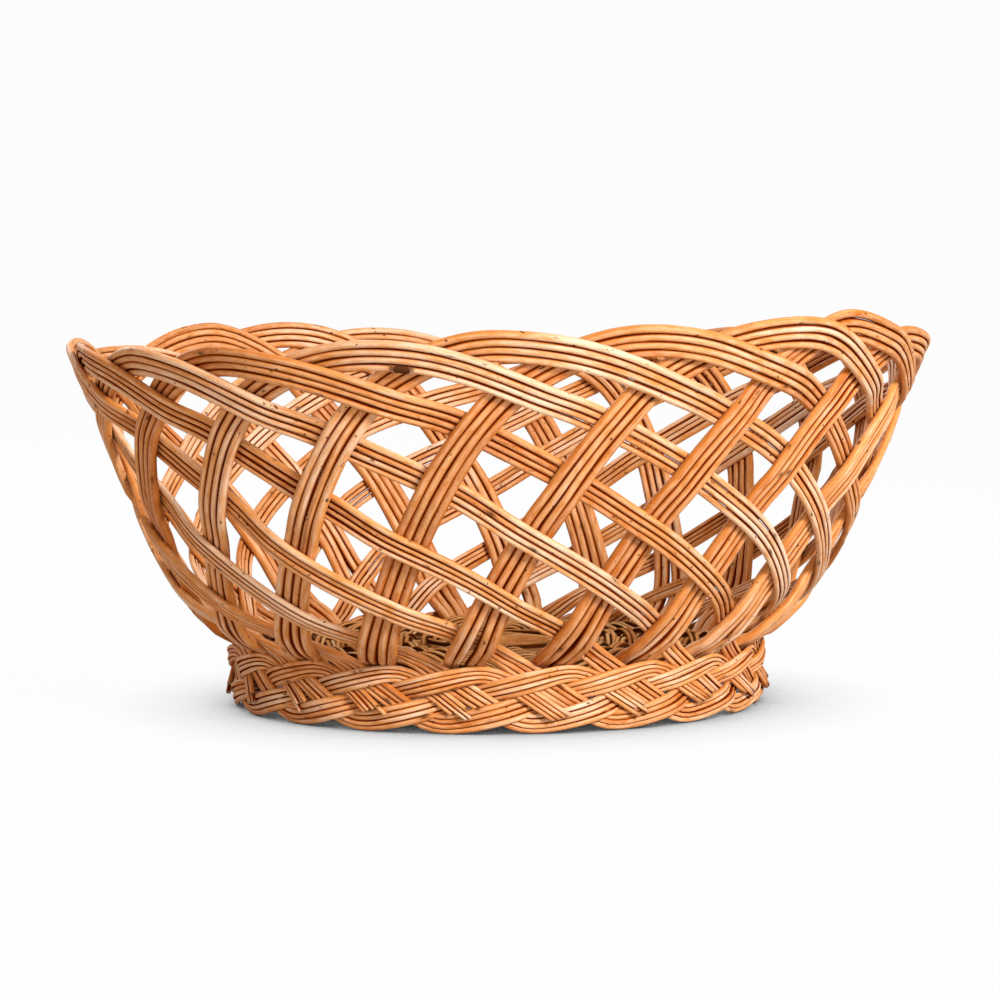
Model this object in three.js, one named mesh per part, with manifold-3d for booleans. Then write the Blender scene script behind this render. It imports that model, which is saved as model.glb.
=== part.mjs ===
// Round willow basket with an open lattice side, a scalloped rim and a plaited foot.
// Millimetres, +Z up, standing on z = 0, front towards -Y.
import * as THREE from "three";
import { mergeVertices } from "three/addons/utils/BufferGeometryUtils.js";
import Module from "manifold-3d";

// The side: twenty strands of four rods, each one arch of the rim.
const strandCount = 20;
const rimRadius = 157.4;
const crestHeight = 135.2;
const sideFootHeight = 24.7;
const firstCrestTurn = 0.5;
const sideFullness = 0.59;
const rodCount = 4;
const rootSpreadRatio = 2.5;
const sideSpreadRatio = 4;
const plaitSpreadRatio = 2.95;
const buttThickness = 3.6;
const tipThickness = 1.4;
const weaveGap = 0.4;

// How a strand runs: crossings between rim and base, roundness of the arch, drift of the falling leg.
const crossingCount = 7.44;
const archRatio = 3;
const driftRatio = 0.25;
const driftStartCount = 2;

// The foot: the same strands plaited along under the base.
const footStep = 6.6;
const soleHeight = 1.5;
const crestDip = 2.3;
const tailDip = 1.9;
const bandHalfWidth = 4.35;
const tailHalfWidth = 3.6;
const sideBendRound = 1;
const soleBendRound = 1.2;
const tailBendRound = 1.5;
const footBendRound = 2;
const downTurn = 1.14;
const riseTurn = 2.52;
const tailLagTurn = 0.16;
const tailSteepness = 1.36;
const tailEndTurn = 0.78;
const rootCount = 7.9;
const rootLength = 12.8;
const rootRate = 20;

// The base: ten sticks fanned to twenty spokes, woven round.
const baseRadius = 92.5;
const baseHeight = 18.5;
const stickThickness = 4.5;
const weaverThickness = 3.2;
const weaverRowPitch = 4;
const bindingThickness = 2.4;
const bindingRadius = 32;
const fitGap = 0.35;

const { Manifold, Mesh: SolidMesh } = await Module().then((wasm) => {
  wasm.setup();
  return wasm;
});

const willow = new THREE.MeshStandardMaterial({ color: 0xc88a45, roughness: 0.45 });
const paleWillow = new THREE.MeshStandardMaterial({ color: 0xb98a5a, roughness: 0.55 });

const strandTurn = (2 * Math.PI) / strandCount;
const footRadius = baseRadius + footStep;
const footPitch = strandTurn * footRadius;
const lerp = THREE.MathUtils.lerp;
const smoothstep = THREE.MathUtils.smoothstep;
const smoothMax = (a, b, round) => (a + b + Math.hypot(a - b, round)) / 2;
const smoothMin = (a, b, round) => (a + b - Math.hypot(a - b, round)) / 2;

// Turn and height of a strand's middle line, p crossings from its crest.
// The rising leg has p < 0 and the falling leg p > 0.
const arch = (p) => Math.hypot(p, archRatio) - archRatio;
const archDrop = (crestHeight - sideFootHeight) / arch(crossingCount);
const sideHeight = (p) => crestHeight - archDrop * arch(p);
const hinge = (p) => (driftRatio * (p + Math.hypot(p, 1))) / 2;
const sideTurn = (p) => p / 2 + hinge(Math.abs(p) - driftStartCount) - hinge(-driftStartCount);

// Radius of the middle of the side at a height.
const sideRadius = (z) => {
  const share = Math.max(0, (z - sideFootHeight) / (crestHeight - sideFootHeight));
  return baseRadius + (rimRadius - baseRadius) * share ** sideFullness;
};

// The foot is laid out in turns of one strand: down, along the floor and up, then a cut tail.
const plaitStartCount = 7;
const plaitTurn = sideTurn(plaitStartCount);
const gapTurn = plaitStartCount + sideTurn(-crossingCount) + 0.5;
const bottomTurn = gapTurn + downTurn;
const crestTurn = bottomTurn + riseTurn;
const tailTurn = crestTurn + tailLagTurn;
const footDrop = (sideFootHeight - soleHeight) / downTurn;
const footRise = (sideFootHeight - soleHeight - crestDip) / riseTurn;
const tailDrop = footDrop * tailSteepness;
const tailTop = sideFootHeight - tailDip;
const wallSlope = (sideHeight(plaitStartCount) - sideHeight(crossingCount)) /
  (sideTurn(crossingCount) - plaitTurn);
const plaitHeight = (turn) => {
  const fromSide = sideHeight(plaitStartCount) - wallSlope * (turn - plaitTurn);
  const down = smoothMax(fromSide, sideFootHeight - footDrop * (turn - gapTurn), sideBendRound);
  const along = smoothMax(down, soleHeight + footRise * (turn - bottomTurn), soleBendRound);
  return smoothMin(along, tailTop - tailDrop * (turn - tailTurn), tailBendRound);
};
const fallingRadius = (z) => smoothMax(sideRadius(z), footRadius, footBendRound);

// The root of a strand runs straight from the side to the edge of the base.
const rootTop = sideHeight(plaitStartCount);
const rootSlope = (sideRadius(rootTop) - baseRadius) / (rootTop - baseHeight);
const rootRadius = (z) => baseRadius + rootSlope * (z - baseHeight);

// Strand thickness tapers from butt to tip along the whole run.
const runStart = -rootCount - rootLength / rootRate;
const runEnd = plaitStartCount + crestTurn + tailEndTurn - plaitTurn;
const thicknessAt = (s) => lerp(buttThickness, tipThickness, (s - runStart) / (runEnd - runStart));

// Turns at which the rising part of a strand meets the falling part, or the tail, of the one n places on.
const meetFalling = (n) => (sideFootHeight - soleHeight + footDrop * (gapTurn + n) +
  footRise * bottomTurn) / (footDrop + footRise);
const meetTail = (n) => (tailTop - soleHeight + tailDrop * (tailTurn + n) +
  footRise * bottomTurn) / (tailDrop + footRise);
const bandReach = bandHalfWidth / footPitch;
const tailReach = tailHalfWidth / footPitch;

// Distance of a strand from the middle of the weave, outward, at its crossings.
const sideLayer = (thicknessAt(0) + weaveGap) / 2;
const footLayer = (thicknessAt(plaitStartCount) + thicknessAt(runEnd - 1)) / 2 + weaveGap;
const rootStation = (share) => lerp(-rootCount, -plaitStartCount, share);
const sidePlan = [
  [runStart, 0],
  [-rootCount, 0],
  [rootStation(0.12), 0],
  [rootStation(0.34), -1.7],
  [rootStation(0.67), 1],
  [-6.76, 1],
  [-6.24, -1],
  [-4.76, -1],
  [-4.24, 1],
  [-2.78, 1],
  [-2.4, -1],
  [-0.22, -1],
  [0.22, 1],
  [2.3, 1],
  [2.7, -1],
  [4.24, -1],
  [4.76, 1],
  [6.24, 1],
  [6.76, -1],
  [plaitStartCount, -1],
  [plaitStartCount + 0.15, -1.3],
];
const plaitPlan = [
  [gapTurn - 0.05, 0],
  [bottomTurn - 0.14, 0],
  [bottomTurn, 0],
  [bottomTurn + 0.14, 0],
  [bottomTurn + 0.28, 0.1],
  [meetFalling(1) - bandReach, 1],
  [meetFalling(1) + bandReach, 1],
  [meetTail(-2) - tailReach, -1],
  [meetFalling(2) + bandReach, -1],
  [meetTail(-1) - tailReach, 1],
  [meetFalling(3) + bandReach, 1],
  [meetTail(-1) + 1 - tailReach, 0],
  [meetTail(-1) + 1 + tailReach, 0],
  [meetTail(-2) + 2 + tailReach, 1.1],
  [crestTurn + tailEndTurn, 1.45],
];
const runPlan = [
  ...sidePlan.map(([p, side]) => [p, side * sideLayer]),
  ...plaitPlan.map(([turn, side]) => [plaitStartCount + turn - plaitTurn, side * footLayer]),
];

// Places along the run: every change of layer, with steps between them.
const runStations = (longestStep) => {
  const stations = [];
  runPlan.slice(1).forEach(([end, endLayer], i) => {
    const [start, startLayer] = runPlan[i];
    const least = endLayer === startLayer ? 1 : 2;
    const steps = Math.max(least, Math.ceil((end - start) / longestStep - 1e-6));
    for (let k = 0; k < steps; k++) {
      stations.push(lerp(start, end, k / steps));
    }
  });
  stations.push(runEnd);
  return stations;
};
const layerAt = (s) => {
  const next = runPlan.findIndex(([at]) => at >= s - 1e-9);
  if (next < 1) return runPlan[0][1];
  const [start, startLayer] = runPlan[next - 1];
  const [end, endLayer] = runPlan[next];
  return lerp(startLayer, endLayer, smoothstep(s, start, end));
};
const spreadAt = (s) => {
  const bunched = lerp(rootSpreadRatio, sideSpreadRatio, smoothstep(s, -rootCount, -plaitStartCount));
  const plaited = lerp(sideSpreadRatio, plaitSpreadRatio, smoothstep(s, 6.4, 7.6));
  const rising = lerp(0, 1.2, smoothstep(s, plaitStartCount + bottomTurn - plaitTurn - 0.3, runEnd - 3));
  const tail = lerp(0, 1.7, smoothstep(s, runEnd - 1.1, runEnd - 0.7));
  return ((s < 0 ? bunched : plaited + rising - tail) * rodCount) / 4;
};

const at = (radius, turn, z) => {
  const angle = turn * strandTurn;
  return new THREE.Vector3(radius * Math.sin(angle), -radius * Math.cos(angle), z);
};

// One point of a strand's middle line with its surface: turn, height and the radius law that holds there.
const runPoint = (s) => {
  if (s < -rootCount) {
    const inset = (-rootCount - s) * rootRate;
    return { turn: sideTurn(-rootCount), z: baseHeight, radius: baseRadius - inset };
  }
  if (s < -plaitStartCount) {
    const z = lerp(baseHeight, rootTop, (s + rootCount) / (rootCount - plaitStartCount));
    return { turn: sideTurn(s), z, radius: rootRadius(z) };
  }
  if (s <= plaitStartCount) {
    const z = sideHeight(s);
    return { turn: sideTurn(s), z, radius: s < 0 ? sideRadius(z) : fallingRadius(z) };
  }
  const turn = plaitTurn + s - plaitStartCount;
  const z = plaitHeight(turn);
  return { turn, z, radius: fallingRadius(z) };
};

// Direction of the strands that cross this one, so that each cross-section lies along them.
const crossingDirection = (s, here) => {
  const small = 0.01;
  if (s <= plaitStartCount) {
    const p = Math.abs(s);
    const sign = s < 0 ? 1 : -1;
    const turn = here.turn + sideTurn(sign * (p - small)) - sideTurn(sign * p);
    const z = sideHeight(p - small);
    return at(fallingRadius(z), turn, z).sub(at(fallingRadius(here.z), here.turn, here.z));
  }
  const turn = plaitTurn + s - plaitStartCount;
  const rising = turn > bottomTurn + 0.2 && turn < crestTurn;
  const slope = rising ? -footDrop : footRise;
  const step = rising ? -small : small;
  return at(here.radius, here.turn + step, here.z + slope * step)
    .sub(at(here.radius, here.turn, here.z));
};
const slantAt = (s) => {
  if (s < -plaitStartCount) return 1 - smoothstep(-s, plaitStartCount, rootCount - 0.5);
  if (s <= plaitStartCount) return smoothstep(Math.abs(s), 0.5, 2);
  const turn = plaitTurn + s - plaitStartCount;
  const fromBottom = smoothstep(Math.abs(turn - bottomTurn - 0.1), 0.15, 0.5);
  const fromCrest = smoothstep(Math.abs(turn - crestTurn), 0.1, 0.35);
  return Math.min(fromBottom, fromCrest);
};

// Cross-section of a strand: four corners of the flat band its rods make.
const strandRing = (s) => {
  const small = 0.004;
  const here = runPoint(s);
  const centre = at(here.radius, here.turn, here.z);
  const before = runPoint(Math.max(s - small, runStart));
  const after = runPoint(Math.min(s + small, runEnd));
  const ahead = at(after.radius, after.turn, after.z)
    .sub(at(before.radius, before.turn, before.z)).normalize();
  const around = at(1, here.turn + strandCount / 4, 0);
  const rising = s < -plaitStartCount ? rootRadius : sideRadius;
  const law = s < 0 ? rising : fallingRadius;
  const up = s < -rootCount + 0.02
    ? at(1, here.turn, 0)
    : at(law(here.z + 0.05), here.turn, here.z + 0.05)
      .sub(at(law(here.z - 0.05), here.turn, here.z - 0.05)).normalize();
  const outward = around.clone().cross(up).normalize();
  const across = outward.clone().cross(ahead).normalize();
  const along = crossingDirection(s, here);
  along.addScaledVector(outward, -along.dot(outward)).normalize();
  along.lerp(across, 1 - slantAt(s));
  along.divideScalar(along.dot(across));
  const thickness = thicknessAt(s);
  const halfWidth = (thickness * spreadAt(s)) / 2;
  centre.addScaledVector(outward, layerAt(s));
  return [[-1, -1], [-1, 1], [1, 1], [1, -1]].map(([side, face]) => {
    const corner = centre.clone()
      .addScaledVector(along, side * halfWidth)
      .addScaledVector(outward, (face * thickness) / 2);
    corner.z = Math.max(0, corner.z);
    return corner;
  });
};

// Closed surface through a row of rings, capped at both ends or joined round.
const loft = (rings, joined = false) => {
  const count = rings[0].length;
  const points = rings.flat();
  const faces = [];
  const spans = joined ? rings.length : rings.length - 1;
  for (let i = 0; i < spans; i++) {
    const a = i * count;
    const b = ((i + 1) % rings.length) * count;
    for (let k = 0; k < count; k++) {
      const n = (k + 1) % count;
      faces.push(a + k, b + k, b + n, a + k, b + n, a + n);
    }
  }
  if (!joined) {
    const last = (rings.length - 1) * count;
    for (let k = 1; k < count - 1; k++) {
      faces.push(0, k, k + 1, last, last + k + 1, last + k);
    }
  }
  return new THREE.BufferGeometry().setFromPoints(points).setIndex(faces);
};

// Ring of a round rod across its path.
const rodRing = (centre, ahead, halfWidth, halfHeight, sides) => {
  const up = new THREE.Vector3(0, 0, 1);
  const side = ahead.clone().cross(up).normalize();
  const top = side.clone().cross(ahead).normalize();
  return Array.from({ length: sides }, (_, k) => {
    const angle = (2 * Math.PI * (k + 0.5)) / sides;
    return centre.clone()
      .addScaledVector(side, halfWidth * Math.cos(angle))
      .addScaledVector(top, halfHeight * Math.sin(angle));
  });
};
const rodAlong = (points, halfWidth, sides, joined = false) => {
  const last = points.length - 1;
  const rings = points.map((point, i) => {
    const before = joined ? points[(i + last) % (last + 1)] : points[Math.max(0, i - 1)];
    const after = joined ? points[(i + 1) % (last + 1)] : points[Math.min(last, i + 1)];
    const ahead = after.clone().sub(before).normalize();
    return rodRing(point, ahead, halfWidth, halfWidth, sides);
  });
  return loft(rings, joined);
};

const solidOf = (geometry) => {
  const bare = new THREE.BufferGeometry()
    .setAttribute("position", geometry.getAttribute("position"))
    .setIndex(geometry.getIndex());
  const merged = mergeVertices(bare);
  return new Manifold(new SolidMesh({
    numProp: 3,
    vertProperties: merged.attributes.position.array,
    triVerts: new Uint32Array(merged.index.array),
  }));
};
const geometryOf = (solid) => {
  const mesh = solid.getMesh();
  return new THREE.BufferGeometry()
    .setAttribute("position", new THREE.BufferAttribute(mesh.vertProperties, 3))
    .setIndex(new THREE.BufferAttribute(mesh.triVerts, 1));
};

const basket = new THREE.Group();
basket.name = "willow_basket";
const add = (name, geometry, material) => {
  geometry.computeVertexNormals();
  const mesh = new THREE.Mesh(geometry, material);
  mesh.name = name;
  basket.add(mesh);
  return mesh;
};

// Side strands, all alike, turned into place round the basket.
const firstTurn = THREE.MathUtils.degToRad(firstCrestTurn);
const strandRings = runStations(0.5).map(strandRing);
for (let k = 0; k < strandCount; k++) {
  const turned = strandRings.map((ring) => ring.map((corner) => corner.clone()
    .applyAxisAngle(new THREE.Vector3(0, 0, 1), firstTurn + k * strandTurn)));
  add(`side_strand_${String(k + 1).padStart(2, "0")}`, loft(turned), willow);
}

// Base sticks: parallel through the middle, fanned to the spokes outside it.
const sticksPerSet = Math.round(strandCount / 4);
const stickReach = baseRadius - rootLength - 2 * fitGap;
const spokeTurn = firstTurn + sideTurn(-rootCount) * strandTurn;
const stickPitch = stickThickness + fitGap;
const setHalfWidth = ((sticksPerSet - 1) / 2) * stickPitch + stickThickness / 2;
const stickPath = (index) => {
  const offset = index * stickPitch;
  const fan = index * strandTurn;
  const spread = bindingRadius + stickThickness * 1.33;
  const ends = [stickReach, spread].map((r) => [r * Math.cos(fan), r * Math.sin(fan)]);
  const inner = [
    [setHalfWidth + 2 * stickThickness, offset * 1.28],
    [setHalfWidth + 3 * fitGap, offset],
  ];
  const half = [...ends, ...inner];
  return [...half.map(([x, y]) => [-x, y]), ...half.reverse()]
    .map(([x, y]) => new THREE.Vector3(x, y, baseHeight));
};
const turnBase = (geometry, quarter) => geometry.rotateZ(spokeTurn + (quarter * Math.PI) / 2);
const splitHalfHeight = stickThickness + fitGap;
for (let i = 0; i < sticksPerSet; i++) {
  const index = i - (sticksPerSet - 1) / 2;
  const path = stickPath(index);
  add(`base_stick_through_${i + 1}`, turnBase(rodAlong(path, stickThickness / 2, 6), 0), paleWillow);

  const splitRings = path.map((point, k) => {
    const ahead = path[Math.min(k + 1, path.length - 1)].clone()
      .sub(path[Math.max(0, k - 1)]).normalize();
    const halfHeight = k === 3 || k === 4 ? splitHalfHeight : stickThickness / 2;
    return rodRing(point, ahead, stickThickness / 2, halfHeight, 6);
  });
  const slot = new THREE.BoxGeometry(
    2 * (setHalfWidth + fitGap),
    4 * stickThickness,
    stickThickness + 2 * fitGap,
  ).translate(0, index * stickPitch, baseHeight);
  const splitStick = solidOf(loft(splitRings)).subtract(solidOf(slot));
  add(`base_stick_split_${i + 1}`, turnBase(geometryOf(splitStick), 1), paleWillow);
}

// Inner binding: over one set of sticks and under the other, round once.
const bindingLift = (stickThickness + bindingThickness) / 2 + fitGap;
const bindingPath = [];
for (let quarter = 0; quarter < 4; quarter++) {
  const side = quarter % 2 === 0 ? 1 : -1;
  for (let k = -4; k <= 4; k++) {
    const angle = (quarter * Math.PI) / 2 + (k / 4) * THREE.MathUtils.degToRad(41);
    bindingPath.push(new THREE.Vector3(
      bindingRadius * Math.cos(angle),
      bindingRadius * Math.sin(angle),
      baseHeight + side * bindingLift,
    ));
  }
}
add("base_binding", turnBase(rodAlong(bindingPath, bindingThickness / 2, 4, true), 0), paleWillow);

// Base weavers: two spirals that take opposite sides of each spoke.
const weaverLift = (stickThickness + weaverThickness) / 2 + fitGap;
const weavingStart = bindingRadius + 2 * weaverRowPitch;
const weavingEnd = baseRadius - weaverRowPitch;
const rootHalfWidth = (buttThickness * rootSpreadRatio) / 2;
const weaverPath = (first) => {
  const turns = (weavingEnd - weavingStart - weaverRowPitch) / (2 * weaverRowPitch);
  const spokes = Math.floor(turns * strandCount);
  const points = [];
  for (let k = 0; k <= spokes; k++) {
    const side = (k + first) % 2 === 0 ? 1 : -1;
    for (const end of [-1, 1]) {
      const radius = weavingStart + first * weaverRowPitch +
        (2 * weaverRowPitch * k) / strandCount;
      const onStick = radius < stickReach - weaverThickness;
      const rest = onStick ? stickThickness * 0.62 : rootHalfWidth + 3 * fitGap;
      const angle = k * strandTurn + (end * rest) / radius;
      points.push(new THREE.Vector3(
        radius * Math.cos(angle),
        radius * Math.sin(angle),
        baseHeight + side * weaverLift,
      ));
    }
  }
  return points;
};
["a", "b"].forEach((letter, first) => {
  add(
    `base_weaver_${letter}`,
    turnBase(rodAlong(weaverPath(first), weaverThickness / 2, 4), 0),
    paleWillow,
  );
});

export default basket;
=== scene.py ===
"""Looks of a round willow basket: its rods, its woven base and a plain studio."""

from __future__ import annotations

import logging
import math
import random
from dataclasses import dataclass, replace
from enum import Enum
from functools import cached_property
from itertools import accumulate
from typing import Any, Mapping, NamedTuple, Sequence

import bmesh
import bpy
from mathutils import Matrix, Vector

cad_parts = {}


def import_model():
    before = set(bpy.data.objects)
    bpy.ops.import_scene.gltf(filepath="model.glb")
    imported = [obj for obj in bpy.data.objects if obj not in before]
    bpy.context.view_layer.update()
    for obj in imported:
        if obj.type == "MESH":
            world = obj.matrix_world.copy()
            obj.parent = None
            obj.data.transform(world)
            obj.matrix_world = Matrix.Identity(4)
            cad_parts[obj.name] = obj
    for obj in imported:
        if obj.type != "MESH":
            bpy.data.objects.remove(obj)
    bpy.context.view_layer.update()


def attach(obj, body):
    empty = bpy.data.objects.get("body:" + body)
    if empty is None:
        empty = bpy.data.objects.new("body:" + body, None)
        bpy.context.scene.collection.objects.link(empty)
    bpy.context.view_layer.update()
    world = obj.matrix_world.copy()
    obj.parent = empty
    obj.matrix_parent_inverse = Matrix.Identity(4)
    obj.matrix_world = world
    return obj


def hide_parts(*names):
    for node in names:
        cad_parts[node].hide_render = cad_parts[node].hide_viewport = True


LOG = logging.getLogger("basket")
MM = 0.001
NEAR = 1e-9
BODY = "root"
UP = Vector((0, 0, 1))
QUARTER = math.pi / 2
SEEDS = 10**6
Span = tuple[float, float]
Colour = tuple[float, float, float]
Materials = Sequence[bpy.types.Material]
Rows = Sequence[tuple[float, ...]]


def lerp(start: float, end: float, share: float) -> float:
    """Return the value a share of the way from start to end."""
    return start + (end - start) * share


def smoothstep(value: float, low: float, high: float) -> float:
    """Return 0 below low, 1 above high and a smooth rise between."""
    share = min(1.0, max(0.0, (value - low) / (high - low)))
    return share * share * (3 - 2 * share)


def smooth_max(a: float, b: float, rounding: float) -> float:
    """Return the larger of two values with a rounded change between them."""
    return (a + b + math.hypot(a - b, rounding)) / 2


def smooth_min(a: float, b: float, rounding: float) -> float:
    """Return the smaller of two values with a rounded change between them."""
    return (a + b - math.hypot(a - b, rounding)) / 2


def eased(rows: Rows, place: float) -> tuple[float, ...]:
    """Return the values at a place, smoothly between the rows round it.

    Args:
        rows: A place and its values in each row, in order.
        place: Where the values are wanted.

    Returns:
        The values.
    """
    before = after = rows[0]
    for after in rows:
        if after[0] >= place - NEAR:
            break
        before = after
    if after[0] - before[0] < NEAR:
        return after[1:]
    share = smoothstep(place, before[0], after[0])
    return tuple(lerp(low, high, share) for low, high in zip(before[1:], after[1:]))


def polar(radius: float, angle: float, height: float) -> Vector:
    """Return a point by its radius, its angle from the front and its height."""
    return Vector((radius * math.sin(angle), -radius * math.cos(angle), height))


def turning(angle: float) -> Matrix:
    """Return a turn about the basket's axis."""
    return Matrix.Rotation(angle, 3, "Z")


def add_object(name: str, data: bpy.types.ID) -> bpy.types.Object:
    """Return a new object in the scene."""
    item = bpy.data.objects.new(name, data)
    bpy.context.scene.collection.objects.link(item)
    return item


def add_mesh(name: str, mesh: bmesh.types.BMesh, materials: Materials) -> bpy.types.Object:
    """Return a mesh as a new object with its materials."""
    data = bpy.data.meshes.new(name)
    mesh.to_mesh(data)
    mesh.free()
    for material in materials:
        data.materials.append(material)
    return add_object(name, data)


@dataclass(frozen=True)
class RunPoint:
    """A place on a strand's middle line: turn from its crest in strand pitches, height, radius in mm."""

    turn: float
    height: float
    radius: float


@dataclass(frozen=True)
class Station:
    """Cross-section of a strand of rods.

    Attributes:
        run: Place along the strand, in crossings from its crest.
        centre: Middle of the strand, layer included, in millimetres.
        outward: Normal of the weave.
        across: Step from one rod to the next, one millimetre wide, along the crossing strands.
        thickness: Rod thickness in millimetres.
        spread: Strand width in rod thicknesses.
        layer: Distance from the middle of the weave, outward, in millimetres.
    """

    run: float
    centre: Vector
    outward: Vector
    across: Vector
    thickness: float
    spread: float
    layer: float


@dataclass
class WeavePlan:
    """Sizes of the weave in millimetres, and the path of a strand that follows from them.

    Places along a strand, turns and spreads are counted as in Station and RunPoint.
    """

    strand_count: int = 20
    rim_radius: float = 157.4
    crest_height: float = 135.2
    side_foot_height: float = 24.7
    first_crest_degrees: float = 0.5
    side_fullness: float = 0.59
    root_spread: float = 2.5
    side_spread: float = 4.0
    fall_spread: float = 4.1
    arc_spread: float = 4.8
    under_spread: float = 4.2
    butt_thickness: float = 3.6
    tip_thickness: float = 1.4
    weave_gap: float = 0.4
    crossing_count: float = 7.44
    arch_ratio: float = 3.0
    drift_ratio: float = 0.25
    drift_start: float = 2.0
    plait_start: float = 7.0
    foot_step: float = 6.6
    sole_height: float = 0.9
    crest_dip: float = 2.3
    tail_dip: float = 1.9
    band_half_width: float = 4.35
    tail_half_width: float = 3.6
    down_turn: float = 1.14
    rise_turn: float = 2.52
    tail_lag: float = 0.16
    tail_steepness: float = 1.1
    tail_end: float = 0.98
    sole_turn: float = 0.2
    foot_rounding: float = 2.0
    side_bend: float = 3.0
    sole_bend: float = 5.0
    arc_bend: float = 5.0
    root_count: float = 7.9
    root_length: float = 12.8
    root_rate: float = 20.0
    base_radius: float = 92.5
    base_height: float = 18.5

    def __post_init__(self) -> None:
        """Work out the values that follow from the sizes."""
        self.strand_turn = 2 * math.pi / self.strand_count
        self.foot_radius = self.base_radius + self.foot_step
        # Turns at which a strand leaves the side, passes the base half a pitch past a root, is at the
        # floor and crests again.
        self.plait_turn = self.side_turn(self.plait_start)
        self.gap_turn = self.plait_start + self.side_turn(-self.crossing_count) + 0.5
        self.bottom_turn = self.gap_turn + self.down_turn
        self.crest_turn = self.bottom_turn + self.rise_turn
        # Fall, rise and fall of the cut tail in the foot, for each turn.
        climb = self.side_foot_height - self.sole_height
        self.foot_drop = climb / self.down_turn
        self.foot_rise = (climb - self.crest_dip) / self.rise_turn
        self.tail_drop = self.foot_drop * self.tail_steepness
        # Places of the thick end and of the cut tail.
        self.run_start = -self.root_count - self.root_length / self.root_rate
        self.run_end = self.plait_start + self.crest_turn + self.tail_end - self.plait_turn
        # Turns at which the rising part meets the falls of later strands and the tails of earlier ones.
        top = self.side_foot_height
        self.falls = [self._meet(top, self.foot_drop, self.gap_turn + k) for k in range(4)]
        self.tail_top, self.tail_turn = top - self.tail_dip, self.crest_turn + self.tail_lag
        self.tails = [self._meet(self.tail_top, self.tail_drop, self.tail_turn - k) for k in range(3)]
        self.layers = self._layers()
        self.spreads = self._spreads()

    def arch(self, crossing: float) -> float:
        """Return how far a strand has come down, in units of its slope."""
        return math.hypot(crossing, self.arch_ratio) - self.arch_ratio

    def side_height(self, crossing: float) -> float:
        """Return the height of a strand on the side."""
        drop = (self.crest_height - self.side_foot_height) / self.arch(self.crossing_count)
        return self.crest_height - drop * self.arch(crossing)

    def _hinge(self, crossing: float) -> float:
        """Return the extra turn that the legs gather low on the side."""
        return self.drift_ratio * (crossing + math.hypot(crossing, 1)) / 2

    def side_turn(self, crossing: float) -> float:
        """Return the turn of a strand on the side."""
        low = abs(crossing) - self.drift_start
        return crossing / 2 + self._hinge(low) - self._hinge(-self.drift_start)

    def climb(self, height: float) -> float:
        """Return how far up the side a height is, 0 at the foot and 1 at the crest."""
        return max(0.0, (height - self.side_foot_height) / (self.crest_height - self.side_foot_height))

    def side_radius(self, height: float) -> float:
        """Return the radius of the middle of the side at a height."""
        swell = self.climb(height) ** self.side_fullness
        return self.base_radius + (self.rim_radius - self.base_radius) * swell

    def falling_radius(self, height: float) -> float:
        """Return the radius of a falling strand, which passes outside the base."""
        return smooth_max(self.side_radius(height), self.foot_radius, self.foot_rounding)

    def radius_at(self, run: float, height: float) -> float:
        """Return the radius of a strand for a place and a height."""
        if run >= -self.plait_start:
            return self.side_radius(height) if run < 0 else self.falling_radius(height)
        # A root runs straight from the side to the base.
        top = self.side_height(self.plait_start)
        share = (height - self.base_height) / (top - self.base_height)
        return lerp(self.base_radius, self.side_radius(top), share)

    def plait_height(self, turn: float) -> float:
        """Return the height of a strand in the foot: down, along the floor, up and down again."""
        before = self.side_height(self.plait_start)
        fall = before - self.side_height(self.crossing_count)
        slope = fall / (self.side_turn(self.crossing_count) - self.plait_turn)
        leaving = before - slope * (turn - self.plait_turn)
        down = self.side_foot_height - self.foot_drop * (turn - self.gap_turn)
        rise = self.sole_height + self.foot_rise * (turn - self.bottom_turn)
        tail = self.tail_top - self.tail_drop * (turn - self.tail_turn)
        falling = smooth_max(leaving, down, self.side_bend)
        return smooth_min(smooth_max(falling, rise, self.sole_bend), tail, self.arc_bend)

    def thickness_at(self, run: float) -> float:
        """Return the rod thickness at a place."""
        share = (run - self.run_start) / (self.run_end - self.run_start)
        return lerp(self.butt_thickness, self.tip_thickness, share)

    def _meet(self, top: float, drop: float, turn: float) -> float:
        """Return the turn at which a rising strand meets one that falls from top at turn."""
        reach = top - self.sole_height + drop * turn + self.foot_rise * self.bottom_turn
        return reach / (drop + self.foot_rise)

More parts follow.
